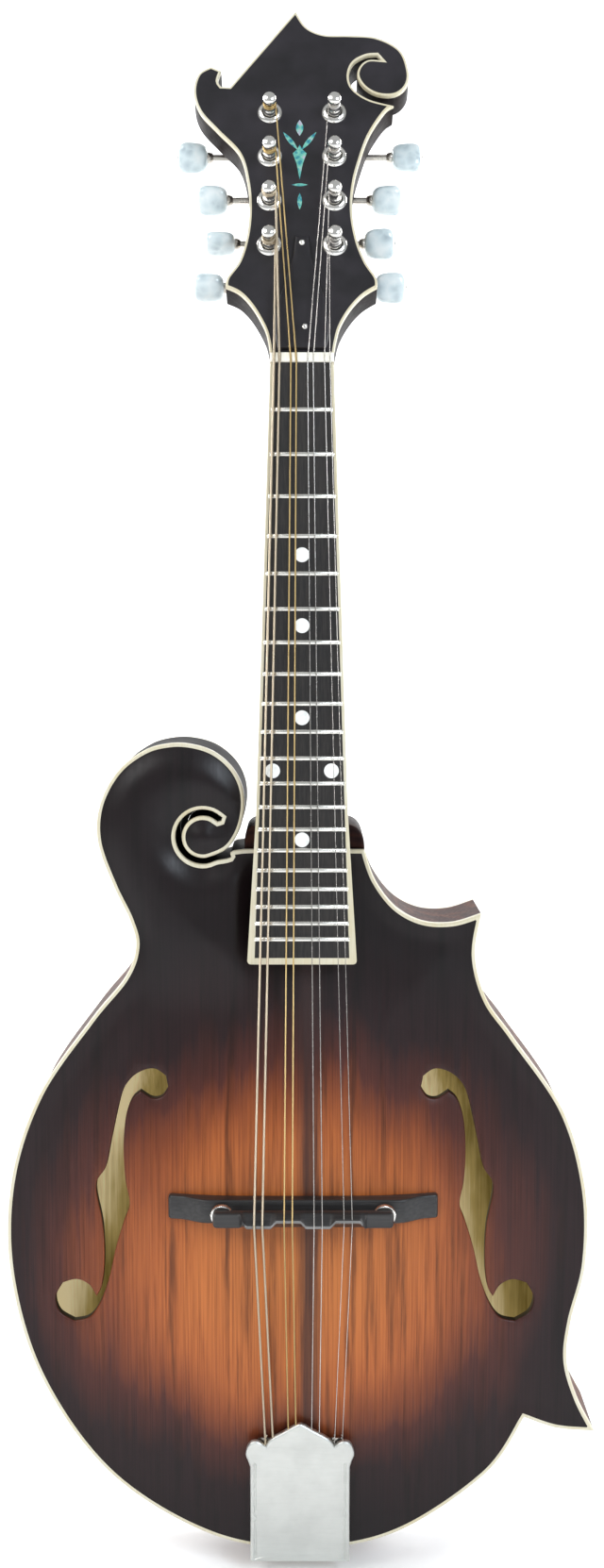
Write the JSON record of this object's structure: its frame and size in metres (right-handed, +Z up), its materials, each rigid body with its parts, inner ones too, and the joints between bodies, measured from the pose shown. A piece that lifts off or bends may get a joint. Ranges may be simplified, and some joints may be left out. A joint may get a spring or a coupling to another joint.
{
  "type": "mandolin",
  "caption": "Scroll-bodied mandolin with an arched f-hole top, bound edges, geared tuners with pearl buttons, an adjustable bridge and a cover over the tailpiece.",
  "frame": {"origin": "middle of the neck's thickness at the nut, where the arms of a yoke hanger hold the instrument", "axes": "+Z up along the body towards the headstock, -Y out of the front, +X to the treble side"},
  "size_m": [0.2561, 0.1153, 0.6808],
  "materials": {
    "sunburst_top": "satin",
    "dark_maple": "gloss",
    "bare_wood": "raw",
    "ebony": "satin",
    "ivory_trim": "gloss",
    "nickel": "satin",
    "brass_parts": "polished",
    "rod_steel": "brushed",
    "pearl": "pearl",
    "wound_wire": "wound",
    "plain_wire": "polished"
  },
  "bodies": {
    "root": {"soundboard": "sunburst_top", "back_plate": "dark_maple", "ribs": "dark_maple", "neck": "dark_maple", "head_block": "bare_wood", "tail_block": "bare_wood", "upper_point_block": "bare_wood", "lower_point_block": "bare_wood", "top_lining_bass": "bare_wood", "top_lining_treble": "bare_wood", "back_lining_bass": "bare_wood", "back_lining_treble": "bare_wood", "tone_bar_bass": "bare_wood", "tone_bar_treble": "bare_wood", "fingerboard": "ebony", "headstock_overlay": "ebony", "truss_rod_cover": "ebony", "bridge_base": "ebony", "top_binding": "ivory_trim", "back_binding": "ivory_trim", "headstock_binding": "ivory_trim", "fingerboard_binding": "ivory_trim", "nut": "ivory_trim", "tuner_plate_bass": "nickel", "tuner_plate_treble": "nickel", "tailpiece_base": "nickel", "bridge_stud_bass": "brass_parts", "bridge_stud_treble": "brass_parts", "truss_rod": "rod_steel", "string_1": "wound_wire", "string_2": "wound_wire", "string_3": "wound_wire", "string_4": "wound_wire", "string_5": "plain_wire", "string_6": "plain_wire", "string_7": "plain_wire", "string_8": "plain_wire"},
    "knob_bass_1": {"button_bass_1": "pearl"},
    "peg_bass_1": {"post_bass_1": "nickel"},
    "knob_bass_2": {"button_bass_2": "pearl"},
    "peg_bass_2": {"post_bass_2": "nickel"},
    "knob_bass_3": {"button_bass_3": "pearl"},
    "peg_bass_3": {"post_bass_3": "nickel"},
    "knob_bass_4": {"button_bass_4": "pearl"},
    "peg_bass_4": {"post_bass_4": "nickel"},
    "knob_treble_1": {"button_treble_1": "pearl"},
    "peg_treble_1": {"post_treble_1": "nickel"},
    "knob_treble_2": {"button_treble_2": "pearl"},
    "peg_treble_2": {"post_treble_2": "nickel"},
    "knob_treble_3": {"button_treble_3": "pearl"},
    "peg_treble_3": {"post_treble_3": "nickel"},
    "knob_treble_4": {"button_treble_4": "pearl"},
    "peg_treble_4": {"post_treble_4": "nickel"},
    "saddle": {"bridge_saddle": "ebony"},
    "wheel_bass": {"thumbwheel_bass": "brass_parts"},
    "wheel_treble": {"thumbwheel_treble": "brass_parts"},
    "truss_adjuster": {"truss_nut": "brass_parts"},
    "tail_cover": {"tailpiece_cover": "nickel"}
  },
  "joints": [
    {"name": "knob_bass_1_turn", "type": "hinge", "parent": "root", "child": "knob_bass_1", "pos_m": [-0.035, 0.05102, 0.09725], "axis": [1, 0, 0], "continuous": true},
    {"name": "peg_bass_1_turn", "type": "hinge", "parent": "root", "child": "peg_bass_1", "pos_m": [-0.014, 0.03444, 0.11266], "axis": [0, -0.9379, 0.3469], "continuous": true},
    {"name": "knob_bass_2_turn", "type": "hinge", "parent": "root", "child": "knob_bass_2", "pos_m": [-0.035, 0.04356, 0.07708], "axis": [1, 0, 0], "continuous": true},
    {"name": "peg_bass_2_turn", "type": "hinge", "parent": "root", "child": "peg_bass_2", "pos_m": [-0.014, 0.02698, 0.09249], "axis": [0, -0.9379, 0.3469], "continuous": true},
    {"name": "knob_bass_3_turn", "type": "hinge", "parent": "root", "child": "knob_bass_3", "pos_m": [-0.035, 0.0361, 0.05692], "axis": [1, 0, 0], "continuous": true},
    {"name": "peg_bass_3_turn", "type": "hinge", "parent": "root", "child": "peg_bass_3", "pos_m": [-0.014, 0.01952, 0.07233], "axis": [0, -0.9379, 0.3469], "continuous": true},
    {"name": "knob_bass_4_turn", "type": "hinge", "parent": "root", "child": "knob_bass_4", "pos_m": [-0.035, 0.02864, 0.03675], "axis": [1, 0, 0], "continuous": true},
    {"name": "peg_bass_4_turn", "type": "hinge", "parent": "root", "child": "peg_bass_4", "pos_m": [-0.014, 0.01206, 0.05216], "axis": [0, -0.9379, 0.3469], "continuous": true},
    {"name": "knob_treble_1_turn", "type": "hinge", "parent": "root", "child": "knob_treble_1", "pos_m": [0.035, 0.05102, 0.09725], "axis": [1, 0, 0], "continuous": true},
    {"name": "peg_treble_1_turn", "type": "hinge", "parent": "root", "child": "peg_treble_1", "pos_m": [0.014, 0.03444, 0.11266], "axis": [0, -0.9379, 0.3469], "continuous": true},
    {"name": "knob_treble_2_turn", "type": "hinge", "parent": "root", "child": "knob_treble_2", "pos_m": [0.035, 0.04356, 0.07708], "axis": [1, 0, 0], "continuous": true},
    {"name": "peg_treble_2_turn", "type": "hinge", "parent": "root", "child": "peg_treble_2", "pos_m": [0.014, 0.02698, 0.09249], "axis": [0, -0.9379, 0.3469], "continuous": true},
    {"name": "knob_treble_3_turn", "type": "hinge", "parent": "root", "child": "knob_treble_3", "pos_m": [0.035, 0.0361, 0.05692], "axis": [1, 0, 0], "continuous": true},
    {"name": "peg_treble_3_turn", "type": "hinge", "parent": "root", "child": "peg_treble_3", "pos_m": [0.014, 0.01952, 0.07233], "axis": [0, -0.9379, 0.3469], "continuous": true},
    {"name": "knob_treble_4_turn", "type": "hinge", "parent": "root", "child": "knob_treble_4", "pos_m": [0.035, 0.02864, 0.03675], "axis": [1, 0, 0], "continuous": true},
    {"name": "peg_treble_4_turn", "type": "hinge", "parent": "root", "child": "peg_treble_4", "pos_m": [0.014, 0.01206, 0.05216], "axis": [0, -0.9379, 0.3469], "continuous": true},
    {"name": "saddle_height", "type": "slide", "parent": "root", "child": "saddle", "axis": [0, -0.9877, -0.1564], "range_m": [-0.0006, 0]},
    {"name": "wheel_bass_turn", "type": "hinge", "parent": "saddle", "child": "wheel_bass", "pos_m": [-0.0338, -0.03816, -0.35697], "axis": [0, -0.9877, -0.1564], "range_deg": [-270, 0]},
    {"name": "wheel_treble_turn", "type": "hinge", "parent": "saddle", "child": "wheel_treble", "pos_m": [0.0348, -0.03816, -0.35697], "axis": [0, -0.9877, -0.1564], "range_deg": [-270, 0]},
    {"name": "truss_nut_turn", "type": "hinge", "parent": "root", "child": "truss_adjuster", "pos_m": [0, 0.00068, 0.00905], "axis": [0, 0.0924, 0.9957], "range_deg": [-180, 180]},
    {"name": "tail_cover_slide", "type": "slide", "parent": "root", "child": "tail_cover", "axis": [0, 0.1288, -0.9917], "range_m": [0, 0.06]}
  ],
  "couplings": [
    {"joint": "peg_bass_1_turn", "follows": "knob_bass_1_turn", "ratio": 0.0625},
    {"joint": "peg_bass_2_turn", "follows": "knob_bass_2_turn", "ratio": 0.0625},
    {"joint": "peg_bass_3_turn", "follows": "knob_bass_3_turn", "ratio": 0.0625},
    {"joint": "peg_bass_4_turn", "follows": "knob_bass_4_turn", "ratio": 0.0625},
    {"joint": "peg_treble_1_turn", "follows": "knob_treble_1_turn", "ratio": -0.0625},
    {"joint": "peg_treble_2_turn", "follows": "knob_treble_2_turn", "ratio": -0.0625},
    {"joint": "peg_treble_3_turn", "follows": "knob_treble_3_turn", "ratio": -0.0625},
    {"joint": "peg_treble_4_turn", "follows": "knob_treble_4_turn", "ratio": -0.0625},
    {"joint": "wheel_bass_turn", "follows": "saddle_height", "rad_per_m": 7850},
    {"joint": "wheel_treble_turn", "follows": "saddle_height", "rad_per_m": 7850}
  ]
}
